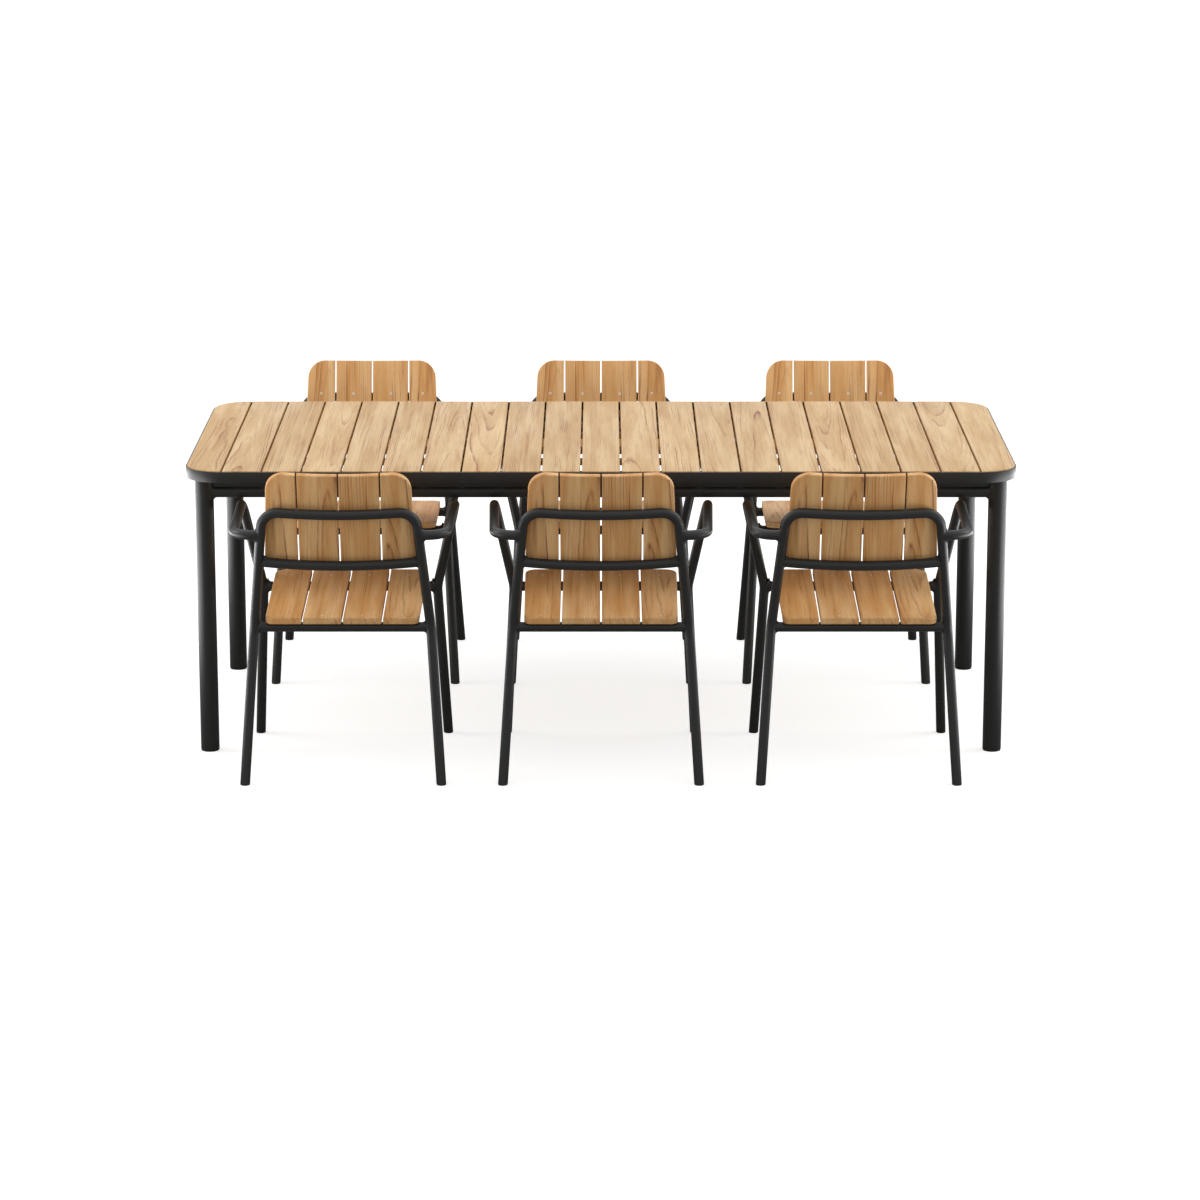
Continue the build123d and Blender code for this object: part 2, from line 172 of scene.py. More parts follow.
def board(outline, top, bottom, edge, columns, toSpace, tree, rounds=4):
    # insets of the outline stacked from the top face to the bottom face: at angle t round an edge the
    # inset is edge*(1 - sin t) and the depth edge*(1 - cos t); both faces are filled with a grid
    def grid(d):
        y, left, right = outline(d)
        x = left[:, None] + (right - left)[:, None] * np.linspace(0, 1, columns + 1)
        return np.stack([x, np.repeat(y[:, None], columns + 1, 1)], -1)

    rows, width = grid(0).shape[:2]
    index = np.arange(rows * width).reshape(rows, width)
    rim = np.concatenate([index[0], index[1:, -1], index[-1, -2::-1], index[-2:0:-1, 0]])
    turns = np.linspace(0, math.pi / 2, rounds + 1)[1:]
    levels = [(edge * (1 - math.sin(t)), top - edge * (1 - math.cos(t))) for t in turns]
    levels += [(d, top + bottom - z) for d, z in reversed(levels)]
    flat = grid(edge).reshape(-1, 2)
    layers = [np.c_[flat, np.full(len(flat), top)], np.c_[flat, np.full(len(flat), bottom)]]
    layers += [np.c_[grid(d).reshape(-1, 2)[rim], np.full(len(rim), z)] for d, z in levels]
    local = np.concatenate(layers)

    # the side runs from the top face's rim over the inset rings to the bottom face's rim
    rings = 2 * len(flat) + np.arange(len(levels) * len(rim))
    sideOrder = np.concatenate([rim, rings, rim + len(flat)])
    side = sideOrder[gridFaces(len(levels) + 2, len(rim), closed=True)]
    face = gridFaces(rows, width)
    quads = np.concatenate([face, face[:, ::-1] + len(flat), side[:, ::-1]])

    # the same points as they lay in the trunk, with the pith along the second axis
    across, along, up = local[:, tree["axes"]].T
    grain = np.c_[across - tree["middle"] - tree["shift"], along + tree["along"],
                  up - top - tree["lift"] - tree["tilt"] * along]
    return solid(toSpace(local), quads, grain=grain, tone=np.full(len(local), tree["tone"]))


trunk = {  # how far the pith lies beside and under a board, and how much it slants, in either kind
    "archedShare": 0.45,
    "arched": {"beside": (0.0, 0.03), "under": (0.03, 0.08), "slant": (0.012, 0.03)},
    "straight": {"beside": (0.07, 0.17), "under": (0.02, 0.06), "slant": (0.004, 0.015)},
}
rng = np.random.default_rng(24)


def growTree(middle, axes=(0, 1, 2)):
    # where a board lay in its trunk: with the pith under it the rings show as long arches, and with
    # the pith beside it as straight lines
    kind = trunk["arched" if rng.random() < trunk["archedShare"] else "straight"]
    return {
        "middle": middle, "axes": axes,
        "shift": rng.uniform(*kind["beside"]) * rng.choice([-1, 1]),
        "lift": rng.uniform(*kind["under"]),
        "tilt": rng.uniform(*kind["slant"]) * rng.choice([-1, 1]),
        "along": rng.uniform(0, 60), "tone": rng.uniform(0, 1),
    }


def bentPath(points, radii):
    # straight runs joined by tangent arcs: at each corner the arc starts radius*tan(turn/2) before
    # it and turns from one run to the next, in steps of about three degrees
    points = [np.asarray(p, float) for p in points]
    places, headings = [points[0]], [unit(points[1] - points[0])]
    for before, corner, after, radius in zip(points, points[1:], points[2:], radii):
        a, b = unit(corner - before), unit(after - corner)
        turn = math.acos(np.clip(a @ b, -1, 1))
        across = unit(b - (a @ b) * a)
        angle = np.linspace(0, turn, max(3, int(turn / math.radians(3)) + 2))[:, None]
        start = corner - a * radius * math.tan(turn / 2)
        places += list(start + radius * (np.sin(angle) * a + (1 - np.cos(angle)) * across))
        headings += list(np.cos(angle) * a + np.sin(angle) * across)
    places.append(points[-1])
    headings.append(unit(points[-1] - points[-2]))
    return np.array(places), np.array(headings)


def tube(places, headings, radius, reference, around=40, levels=(None, None)):
    # a ring of the radius at each place, square to its heading: place + r*(cos a*first + sin a*second);
    # an end that is given a level is cut flat at that height instead
    first = unit(np.cross(headings, reference))
    second = np.cross(headings, first)
    angle = np.linspace(0, 2 * math.pi, around, endpoint=False)[None, :, None]
    size = np.asarray(radius, float).reshape(-1, 1, 1)
    rings = places[:, None] + size * (np.cos(angle) * first[:, None] + np.sin(angle) * second[:, None])
    for end, level in zip((0, -1), levels):
        if level is not None:
            fall = (level - rings[end][:, 2]) / headings[end][2]
            rings[end] = rings[end] + fall[:, None] * headings[end]
    caps = [np.arange(around)[::-1], (len(places) - 1) * around + np.arange(around)]
    return solid(rings.reshape(-1, 3), gridFaces(len(places), around, closed=True), caps)


def straightTube(start, end, radius, reference, around=40):
    ends = np.array([start, end], float)
    return tube(ends, np.tile(unit(ends[1] - ends[0]), (2, 1)), radius, reference, around)


def weld(corner, branch, main, branchRadius, mainRadius, width, around=72, steps=7):
    # a hollow fillet where a branch tube meets a main tube. The surfaces meet along the branch from
    # the corner by s, which solves |q + s*b| = mainRadius with q and b taken square to the main tube.
    # From that line P the fillet reaches out along the branch and round the main tube, and its section
    # is P + (1 - sin t)*alongBranch + (1 - cos t)*alongMain, closed by a point inside the steel.
    branch, main = unit(branch), unit(main)
    first = unit(np.cross(branch, main))
    angle = np.linspace(0, 2 * math.pi, around, endpoint=False)[:, None]
    away = np.cos(angle) * first + np.sin(angle) * np.cross(branch, first)
    q, b = flatten(branchRadius * away, main), flatten(branch, main)
    half, whole = q @ b, b @ b
    room = half**2 - whole * ((q**2).sum(1) - mainRadius**2)
    s = (-half + np.sqrt(np.maximum(room, 0))) / whole
    meet = branchRadius * away + s[:, None] * branch
    normal = unit(flatten(meet, main))
    slide = away - (away * normal).sum(1, keepdims=True) * normal
    alongBranch = width * np.linalg.norm(slide, axis=1, keepdims=True) * branch
    onMain = meet + width * slide
    square = flatten(onMain, main)
    alongMain = onMain + (mainRadius * unit(square) - square) - meet
    t = np.linspace(0, math.pi / 2, steps)[None, :, None]
    section = (meet[:, None] + (1 - np.sin(t)) * alongBranch[:, None]
               + (1 - np.cos(t)) * alongMain[:, None])
    inside = meet - 0.0012 * (away + branch + 0.5 * normal)  # within the tubes' walls
    rings = corner + np.concatenate([section, inside[:, None]], 1)
    return solid(rings.reshape(-1, 3), gridFaces(around, steps + 1, closed=True, looped=True))


def linear(hexColour):
    # sRGB hex to linear light
    raw = np.array([int(hexColour[n:n + 2], 16) for n in (1, 3, 5)]) / 255
    return (*np.where(raw <= 0.04045, raw / 12.92, ((raw + 0.055) / 1.055) ** 2.4), 1.0)


def addNode(tree, kind, inputs, output=0, **settings):
    # one node with its settings: a socket given as an input is linked, and any other value is set
    made = tree.nodes.new("ShaderNode" + kind)
    for key, value in settings.items():
        if key == "stops":
            ramp = made.color_ramp.elements
            for at, _ in value[1:-1]:
                ramp.new(at)
            for stop, (at, shade) in zip(ramp, value):
                stop.position, stop.color = at, (shade, shade, shade, 1)
        else:
            setattr(made, key, value)
    for key, value in inputs.items():
        if isinstance(value, bpy.types.NodeSocket):
            tree.links.new(value, made.inputs[key])
        else:
            made.inputs[key].default_value = value
    return made.outputs[output] if made.outputs else made


def startMaterial(name):
    made = bpy.data.materials.new(name)
    made.use_nodes = True
    made.node_tree.nodes.clear()
    return made, made.node_tree


def oiledTeak(name, look):
    # plain-sawn teak, planed, sanded and oiled: growth rings cut lengthwise give arches down the
    # middle of a board and straight lines at its sides, over fine fibres, pores and a few pin knots
    made, tree = startMaterial(name)
    grain = addNode(tree, "Attribute", {}, "Vector", attribute_name="grain")
    tone = addNode(tree, "Attribute", {}, "Fac", attribute_name="tone")
    layers = {}
    for key, (across, along, detail, roughness) in look["layers"].items():
        scale = (1 / across, 1 / along, 1 / across)
        stretched = addNode(tree, "Mapping", {"Vector": grain, "Scale": scale})
        layers[key] = addNode(tree, "TexNoise", {"Vector": stretched, "Scale": 1.0, "Detail": detail,
                                                 "Roughness": roughness}, "Fac")

    # a pin knot is a small dark eye at the middle of a far-apart cell, long and deep as the branch
    # runs, and it pushes the rings aside
    apart, eye = look["knotApart"], look["knotSize"] / look["knotApart"]
    cells = addNode(tree, "Mapping", {"Vector": grain, "Scale": (1 / apart, 0.45 / apart, 0.4)})
    away = addNode(tree, "TexVoronoi", {"Vector": cells, "Scale": 1.0}, "Distance", feature="F1")
    swirl = addNode(tree, "MapRange", {"Value": away, 2: 6 * eye, 3: 1.0, 4: 0.0},
                    interpolation_type="SMOOTHSTEP")
    knot = addNode(tree, "MapRange", {"Value": away, 2: 1.8 * eye, 3: 1.0, 4: 0.0},
                   interpolation_type="SMOOTHSTEP")

    # distance from the pith, swayed by the layers and counted in rings
    section = addNode(tree, "Mapping", {"Vector": grain, "Scale": (1.0, 0.0, 1.0)})
    reach = addNode(tree, "VectorMath", {0: section}, "Value", operation="LENGTH")
    for push, length in ((layers["slow"], look["sway"]), (layers["quick"], look["ripple"]),
                         (swirl, look["ringGap"] * 1.6)):
        reach = addNode(tree, "Math", {0: push, 1: length, 2: reach}, operation="MULTIPLY_ADD")
    rings = addNode(tree, "Math", {0: reach, 1: look["ringGap"]}, operation="DIVIDE")
    ring = addNode(tree, "Math", {0: rings}, operation="FRACT")
    ringShade = addNode(tree, "ValToRGB", {"Fac": ring}, stops=look["ringStops"])

    # only some years leave a dark line, and a line shows along part of its length
    yearCount = addNode(tree, "Math", {0: rings}, operation="FLOOR")
    yearKey = addNode(tree, "CombineXYZ", {0: yearCount, 1: tone})
    year = addNode(tree, "TexWhiteNoise", {"Vector": yearKey}, "Value", noise_dimensions="2D")
    season = addNode(tree, "MapRange", {"Value": year, 1: 0.2, 2: 1.0, 3: look["faintYear"], 4: 1.0})
    stretch = addNode(tree, "MapRange", {"Value": layers["patch"], 1: 0.4, 2: 0.62,
                                         3: look["faintPatch"], 4: 1.0}, interpolation_type="SMOOTHSTEP")
    dark = look["ringDepth"]
    for factor in (ringShade, season, stretch):
        dark = addNode(tree, "Math", {0: factor, 1: dark}, operation="MULTIPLY")

    # fibres and streaks lighten and darken about the middle of their noise, and pores only darken
    for key, depth in look["depths"].items():
        swing = addNode(tree, "Math", {0: layers[key], 1: 0.5}, operation="SUBTRACT")
        dark = addNode(tree, "Math", {0: swing, 1: depth, 2: dark}, operation="MULTIPLY_ADD")
    pores = addNode(tree, "MapRange", {"Value": layers["pore"], 1: 0.6, 2: 0.7, 4: look["poreDepth"]})
    for mark in (pores, knot):
        dark = addNode(tree, "Math", {0: mark, 1: dark}, operation="ADD", use_clamp=True)

    # two boards are never alike: their own tone shifts both the mix of colours and the brightness
    blotch = addNode(tree, "MapRange", {"Value": layers["blotch"], 1: 0.35, 2: 0.65})
    mixed = addNode(tree, "Math", {0: tone, 1: look["toneMix"], 2: blotch}, operation="MULTIPLY_ADD",
                    use_clamp=True)
    warm = addNode(tree, "Mix", {0: mixed, 6: linear(look["pale"]), 7: linear(look["honey"])}, 2,
                   data_type="RGBA")
    ringed = addNode(tree, "Mix", {0: dark, 6: warm, 7: linear(look["ringColour"])}, 2, data_type="RGBA")
    shade = addNode(tree, "TexWhiteNoise", {"W": tone}, "Value", noise_dimensions="1D")
    value = addNode(tree, "MapRange", {"Value": shade, 3: 1 - look["toneSpread"] / 2,
                                       4: 1 + look["toneSpread"] / 2})
    colour = addNode(tree, "HueSaturation", {"Color": ringed, "Value": value})

    height = addNode(tree, "Math", {0: dark, 1: -1.3, 2: layers["fibre"]}, operation="MULTIPLY_ADD")
    bump = addNode(tree, "Bump", {"Strength": look["bump"], "Distance": 0.0003, "Height": height})
    rough = addNode(tree, "Math", {0: dark, 1: 0.12, 2: look["roughness"]}, operation="MULTIPLY_ADD")
    shader = addNode(tree, "BsdfPrincipled", {"Base Color": colour, "Roughness": rough, "IOR": 1.5,
                                              "Specular IOR Level": look["specular"], "Normal": bump})
    addNode(tree, "OutputMaterial", {0: shader})
    return made


def powderCoat(name, look):
    # polyester powder baked on steel: a closed satin film with a very fine orange peel
    made, tree = startMaterial(name)
    spot = addNode(tree, "TexCoord", {}, "Object")
    peel = addNode(tree, "TexNoise", {"Vector": spot, "Scale": 1 / look["peel"], "Detail": 2.0}, "Fac")
    cloud = addNode(tree, "TexNoise", {"Vector": spot, "Scale": 1 / look["cloud"], "Detail": 3.0}, "Fac")
    colour = addNode(tree, "Mix", {0: cloud, 6: linear(look["dark"]), 7: linear(look["light"])}, 2,
                     data_type="RGBA")
    rough = addNode(tree, "MapRange", {"Value": cloud, 3: look["roughness"] - look["uneven"],
                                       4: look["roughness"] + look["uneven"]})
    bump = addNode(tree, "Bump", {"Strength": look["bump"], "Distance": 0.0003, "Height": peel})
    shader = addNode(tree, "BsdfPrincipled", {"Base Color": colour, "Roughness": rough, "IOR": 1.5,
                                              "Specular IOR Level": look["specular"], "Normal": bump})
    addNode(tree, "OutputMaterial", {0: shader})
    return made


def tumbledSteel(name, look):
    # A2 stainless steel, cold headed and tumbled: bright, with fine scratches every way
    made, tree = startMaterial(name)
    spot = addNode(tree, "TexCoord", {}, "Object")
    scratch = addNode(tree, "TexNoise", {"Vector": spot, "Scale": 1 / look["scratch"],
                                         "Detail": 3.0}, "Fac")
    rough = addNode(tree, "MapRange", {"Value": scratch, 3: look["smooth"], 4: look["rough"]})
    bump = addNode(tree, "Bump", {"Strength": look["bump"], "Distance": 0.0001, "Height": scratch})
    shader = addNode(tree, "BsdfPrincipled", {"Base Color": linear(look["colour"]), "Metallic": 1.0,
                                              "Roughness": rough, "Normal": bump})
    addNode(tree, "OutputMaterial", {0: shader})
    return made


def mouldedNylon(name, look):
    # glass-filled nylon, injection moulded with a fine spark-eroded texture
    made, tree = startMaterial(name)
    spot = addNode(tree, "TexCoord", {}, "Object")
    grit = addNode(tree, "TexNoise", {"Vector": spot, "Scale": 1 / look["grit"], "Detail": 2.0}, "Fac")
    colour = addNode(tree, "Mix", {0: grit, 6: linear(look["dark"]), 7: linear(look["light"])}, 2,
                     data_type="RGBA")
    bump = addNode(tree, "Bump", {"Strength": look["bump"], "Distance": 0.0002, "Height": grit})
    shader = addNode(tree, "BsdfPrincipled", {"Base Color": colour, "Roughness": look["roughness"],
                                              "IOR": 1.53, "Normal": bump})
    addNode(tree, "OutputMaterial", {0: shader})
    return made


tableTeakLook = {
    "pale": "#d5b789", "honey": "#c19b67", "ringColour": "#85492a", "ringGap": 0.0046,
    "ringStops": [(0.0, 0.1), (0.4, 0.2), (0.7, 0.5), (0.86, 1.0), (0.95, 0.5), (1.0, 0.1)],
    "ringDepth": 1.0, "faintYear": 0.08, "faintPatch": 0.25, "sway": 0.03, "ripple": 0.0032,
    # each layer's size across and along the board in metres, its detail and its roughness; fibres
    # and pores are drawn far coarser than teak's 0.3 mm, so that they show
    "layers": {
        "slow": (0.1, 0.75, 1.5, 0.5), "quick": (0.02, 0.16, 3.0, 0.55),
        "patch": (0.025, 0.26, 2.0, 0.5), "fibre": (0.0024, 0.11, 3.0, 0.6),
        "streak": (0.0075, 0.5, 2.5, 0.55), "pore": (0.0016, 0.022, 1.0, 0.5),
        "blotch": (0.04, 0.45, 2.0, 0.5),
    },
    "depths": {"streak": 0.6, "fibre": 0.75}, "poreDepth": 0.14,
    "knotApart": 0.32, "knotSize": 0.003, "toneMix": 0.35, "toneSpread": 0.1,
    "roughness": 0.5, "specular": 0.35, "bump": 0.35,
}
chairTeakLook = {**tableTeakLook, "pale": "#eabf87", "honey": "#d59d5f", "ringColour": "#854421",
                 "ringGap": 0.006, "ringDepth": 1.05, "sway": 0.04, "ripple": 0.005}
# the battens are the table's teak with darker pale, honey and ring colours: painted shade for the shade
# they lie in under the table top
battenTeakShadeLook = {**tableTeakLook, "pale": "#a07a52", "honey": "#8a623a", "ringColour": "#5f4024",
                  "roughness": 0.65}
tableTeak = oiledTeak("oiled_teak_pale", tableTeakLook)
chairTeak = oiledTeak("oiled_teak_honey", chairTeakLook)
# the batten material's darker colours are painted shade
battenTeakWithShade = oiledTeak("teak_batten_painted_shade", battenTeakShadeLook)
charcoalPaint = powderCoat("charcoal_powder_coat", {
    "dark": "#1f2020", "light": "#252625", "peel": 0.0012, "cloud": 0.03, "roughness": 0.38,
    "uneven": 0.05, "specular": 0.42, "bump": 0.2})
brightSteel = tumbledSteel("tumbled_stainless_steel", {
    "colour": "#edebe7", "scratch": 0.0006, "smooth": 0.28, "rough": 0.45, "bump": 0.1})
blackNylon = mouldedNylon("moulded_black_nylon", {
    "dark": "#151515", "light": "#1c1c1c", "grit": 0.0006, "roughness": 0.6, "bump": 0.3})
print("materials ready")


woodLow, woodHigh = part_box("table_slats")
tableTop = {  # tipReach is from an end board's nominal middle to its straight side
    "count": 21, "pitch": 0.1018, "gap": 0.005, "corner": 0.0935, "edge": 0.0022, "tipReach": 0.048,
}


def flatSpace(local):
    return local


def turnedSpace(local):
    # a board described with its width along y
    return local[:, [1, 0, 2]]


def tipOutline(sign):
    # the end board: from the last gap to the top's end, narrowing along the corner arcs of the top,
    # y = cornerY + sqrt(r*r - (x - cornerX)^2), with arcs stepped by equal angles
    r = tableTop["corner"]
    cornerX, cornerY = woodHigh.x - r, woodHigh.y - r
    x0 = (tableTop["count"] / 2 - 1) * tableTop["pitch"] + tableTop["gap"] / 2

    def outline(d):
        angle = np.linspace(math.asin((x0 + d - cornerX) / (r - d)), math.pi / 2, 28)
        x = cornerX + (r - d) * np.sin(angle)
        y = cornerY + (r - d) * np.cos(angle)
        x[0] = x0 + d
        return (x, -y, y) if sign > 0 else (-x[::-1], -y[::-1], y[::-1])
    return outline


def tipBoard(sign):
    centre = sign * (woodHigh.x + lastBoard * tableTop["pitch"] - tableTop["tipReach"]) / 2
    return board(tipOutline(sign), woodHigh.z, woodLow.z, tableTop["edge"], 24, turnedSpace,
                 growTree(centre, axes=(1, 0, 2)))


lastBoard = tableTop["count"] // 2
halfWidth = (tableTop["pitch"] - tableTop["gap"]) / 2
topBoards = [tipBoard(-1)]
for k in range(1 - lastBoard, lastBoard):
    middle = k * tableTop["pitch"]
    outline = plainOutline(middle - halfWidth, middle + halfWidth, woodLow.y, woodHigh.y)
    topBoards.append(board(outline, woodHigh.z, woodLow.z, tableTop["edge"], 2, flatSpace,
                           growTree(middle)))
topBoards.append(tipBoard(1))
piece("table_top_boards", topBoards, tableTeak, "table", ["table_slats"])

battenLow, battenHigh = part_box("table_battens")
batten = {"rows": (0.1015, 0.245, 0.407), "width": 0.04, "edge": 0.0015}
battens = []
for row in batten["rows"]:
    for y in (-row, row):
        outline = plainOutline(y - batten["width"] / 2, y + batten["width"] / 2,
                               battenLow.x, battenHigh.x)
        battens.append(board(outline, battenHigh.z, battenLow.z, batten["edge"], 1, turnedSpace,
                             growTree(y)))
piece("table_under_battens", battens, battenTeakWithShade, "table", ["table_battens"])

rimLow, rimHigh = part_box("table_rim")
rim = {"wall": 0.003, "corner": 0.097, "edge": 0.0007}


def quarterArcs(centres, radius, steps):
    # four quarter circles counted round their centres: c + r*(cos a, sin a), and the ways outwards
    angle = np.linspace(0, math.pi / 2, steps)[None, :] + np.arange(4)[:, None] * math.pi / 2
    ways = np.stack([np.cos(angle), np.sin(angle)], -1)
    places = np.array(centres)[:, None] + radius * ways
    return places.reshape(-1, 2), ways.reshape(-1, 2)


# the rim's bar is a thin upright section, its corners rounded, carried round the table's outline
halfX, halfY, edge = rimHigh.x - rim["corner"], rimHigh.y - rim["corner"], rim["edge"]
outlinePlaces, outlineWays = quarterArcs([(halfX, halfY), (-halfX, halfY), (-halfX, -halfY),
                                          (halfX, -halfY)], rim["corner"], 24)
inner, top, bottom = rim["wall"] - edge, rimHigh.z - edge, rimLow.z + edge
section, _ = quarterArcs([(inner, top), (edge, top), (edge, bottom), (inner, bottom)], edge, 4)
flat = outlinePlaces[:, None] - section[None, :, :1] * outlineWays[:, None]
bar = np.concatenate([flat, np.broadcast_to(section[None, :, 1:], (*flat.shape[:2], 1))], -1)
barQuads = gridFaces(len(outlinePlaces), len(section), closed=True, looped=True)
piece("table_rim_bar", [solid(bar.reshape(-1, 3), barQuads)], charcoalPaint, "table", ["table_rim"])

under = {  # sink is how deep the apron tubes run into the legs
    "legRadius": 0.024, "footEdge": 0.0012, "apronRadius": 0.0165, "fillet": 0.009, "sink": 0.012,
}
turn = np.linspace(0, math.pi / 2, 5)
footRise = under["footEdge"] * (1 - np.cos(turn))
footRadius = under["legRadius"] - under["footEdge"] * (1 - np.sin(turn))
for name in [n for n in frame["nodes"] if n.startswith("table_leg_")]:
    # a leg with a small round at its foot
    low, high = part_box(name)
    height = np.concatenate([low.z + footRise, [high.z]])
    middle = np.tile([(low.x + high.x) / 2, (low.y + high.y) / 2], (len(height), 1))
    leg = tube(np.c_[middle, height], np.tile([0, 0, 1.0], (len(height), 1)),
               np.append(footRadius, under["legRadius"]), (1, 0, 0), around=64)
    piece(name.replace("table_leg", "table_leg_tube"), [leg], charcoalPaint, "table", [name])

apronLow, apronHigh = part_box("table_aprons")
apronZ = (apronLow.z + apronHigh.z) / 2
legLow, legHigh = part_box("table_leg_back_right")
legX, legY = (legLow.x + legHigh.x) / 2, (legLow.y + legHigh.y) / 2
endX, endY = legX - under["sink"], legY - under["sink"]
aprons, fillets = [], []
for side in (-1, 1):
    x, y = side * legX, side * legY
    aprons.append(straightTube((-endX, y, apronZ), (endX, y, apronZ), under["apronRadius"], (0, 0, 1), 48))
    aprons.append(straightTube((x, -endY, apronZ), (x, endY, apronZ), under["apronRadius"], (0, 0, 1), 48))
for sideX in (-1, 1):
    for sideY in (-1, 1):
        corner = np.array([sideX * legX, sideY * legY, apronZ])
        for way in ((-sideX, 0, 0), (0, -sideY, 0)):
            fillets.append(weld(corner, way, (0, 0, 1), under["apronRadius"], under["legRadius"],
                                under["fillet"]))
piece("table_apron_tubes", aprons, charcoalPaint, "table", ["table_aprons"])
piece("table_weld_fillets", fillets, charcoalPaint, "table", [])
print("table built")

# the chair is made once about its own middle, and faces +Y
chair = {
    "tube": 0.0125, "footLevel": 0.003,
    "rearFoot": (0.2475, -0.2405), "knee": (0.222, -0.168, 0.392), "kneeRadius": 0.12,
    "topCornerX": 0.19, "topCornerZ": 0.7085, "topRadius": 0.048, "lean": math.radians(16),
    "bow": 0.95, "bowReach": 0.028, "lowerRailZ": 0.5705,
    "armZ": 0.645, "armRearX": 0.265, "armRearRadius": 0.054, "armFront": (0.275, 0.143),
    "armFrontRadius": 0.038, "frontKink": (0.2255, 0.17), "kinkRadius": 0.09,
    "frontFoot": (0.2475, 0.2495), "fillet": 0.0085,
}
seat = {
    "slope": math.radians(4.04), "halfLow": 0.193, "halfHigh": 0.197, "low": -0.02, "high": 0.391,
    "cornerLow": 0.018, "cornerHigh": 0.03, "thick": 0.018, "gap": 0.0045, "pitch": 0.1006,
    "edge": 0.003, "screws": (0.0503, 0.151),
}
backrest = {
    "bottomZ": 0.551, "height": 0.265, "halfLow": 0.19, "halfHigh": 0.1785, "cornerLow": 0.008,
    "cornerHigh": 0.05, "thick": 0.016, "gap": 0.004, "pitch": 0.1033, "edge": 0.0026,
    "screws": (0.053, 0.144), "screwRise": 0.0065,
}
screw = {"radius": 0.0037, "dome": 0.0003, "recess": 0.0018, "deep": 0.0014, "skirt": 0.0012}
glide = {"radius": 0.012, "edge": 0.0008, "into": 0.001}

r, lean, bow = chair["tube"], chair["lean"], chair["bow"]
sideways = np.array([1.0, 0, 0])
kneeX, kneeY, kneeZ = chair["knee"]
halfTurn = math.atan(chair["bowReach"] / chair["topCornerX"])
apexBehind = bow * (1 / math.cos(halfTurn) - 1)
cornerAhead = chair["bowReach"] - apexBehind
cornerY = kneeY - (chair["topCornerZ"] - kneeZ) * math.tan(lean)
ahead = np.array([0, math.cos(lean), math.sin(lean)])  # square to the back, towards the sitter
upward = np.array([0, -math.sin(lean), math.cos(lean)])
railMiddle = np.array([0, cornerY, chair["topCornerZ"]]) - cornerAhead * ahead


def onBack(across, up, forward):
    # across, up and forward of the middle of the top rail
    across, up, forward = (np.asarray(v, float)[..., None] for v in (across, up, forward))
    return railMiddle + across * sideways + up * upward + forward * ahead


def onFrame(start, end, z):
    return start + (end - start) * ((z - start[2]) / (end[2] - start[2]))


knee = np.array([-kneeX, kneeY, kneeZ])
topCorner = np.array([-chair["topCornerX"], cornerY, chair["topCornerZ"]])
rearGround = np.array([-chair["rearFoot"][0], chair["rearFoot"][1], 0.0])
rearFoot = onFrame(knee, rearGround, chair["footLevel"])
frontRailZ = kneeZ + (chair["frontKink"][1] - kneeY) * math.tan(seat["slope"])
kink = np.array([-chair["frontKink"][0], chair["frontKink"][1], frontRailZ])
frontGround = np.array([-chair["frontFoot"][0], chair["frontFoot"][1], 0.0])
frontFoot = onFrame(kink, frontGround, chair["footLevel"])
armWeld = onFrame(knee, topCorner, chair["armZ"])
lowerEnd = onFrame(knee, topCorner, chair["lowerRailZ"])

# one tube from foot to foot over the top rail, and one for each arm with its front leg
flip = np.array([-1, 1, 1])
oneSide = [rearFoot, knee, topCorner]
rearPoints = [*oneSide, onBack(0, 0, -apexBehind), *[p * flip for p in oneSide[::-1]]]
rearRadii = [chair["kneeRadius"], chair["topRadius"], bow, chair["topRadius"], chair["kneeRadius"]]
footLevel = chair["footLevel"]
rearTube = tube(*bentPath(rearPoints, rearRadii), r, ahead, levels=(footLevel, footLevel))
armPoints = [armWeld, np.array([-chair["armRearX"], armWeld[1], chair["armZ"]]),
             np.array([-chair["armFront"][0], chair["armFront"][1], chair["armZ"]]), kink, frontFoot]
armRadii = [chair["armRearRadius"], chair["armFrontRadius"], chair["kinkRadius"]]
leftArm = tube(*bentPath(armPoints, armRadii), r, (1, 1, 1), levels=(None, footLevel))

# the lower back rail keeps the back's bow, and the seat rails are straight between the legs
lowerUp = -(chair["topCornerZ"] - chair["lowerRailZ"]) / math.cos(lean)
sweep = np.linspace(-1, 1, 25) * math.asin(lowerEnd[0] / bow)
railPlaces = onBack(-bow * np.sin(sweep), lowerUp, bow * (1 - np.cos(sweep)))
railHeadings = np.sin(sweep)[:, None] * ahead - np.cos(sweep)[:, None] * sideways
rails = [tube(railPlaces, railHeadings, r, upward)]
rails += [straightTube(end, end * flip, r, (0, 0, 1)) for end in (knee, kink)]

upTube = topCorner - knee
lowerWeld = onBack(lowerEnd[0], lowerUp, bow * (1 - math.cos(sweep[0])))
joins = [weld(corner, branch, main, r, r, chair["fillet"]) for corner, branch, main in (
    (armWeld, -sideways, upTube), (lowerWeld, sideways, upTube),
    (knee, sideways, topCorner - rearFoot), (kink, sideways, kink - frontFoot))]
joins += [flipX(j) for j in joins]

seatUp = np.array([0, -math.sin(seat["slope"]), math.cos(seat["slope"])])
seatAlong = np.array([0, math.cos(seat["slope"]), math.sin(seat["slope"])])
seatOrigin = np.array([0, kneeY, kneeZ]) + (r + seat["thick"]) * seatUp


def seatSpace(local):
    return seatOrigin + local @ np.array([sideways, seatAlong, seatUp])


def backSpace(local):
    # across and up stay, and the depth t becomes a place on the bow: forward = R - sqrt(r^2 - across^2)
    across, up, depth = local.T
    return onBack(across, up, bow - np.sqrt((bow - r - depth) ** 2 - across**2))


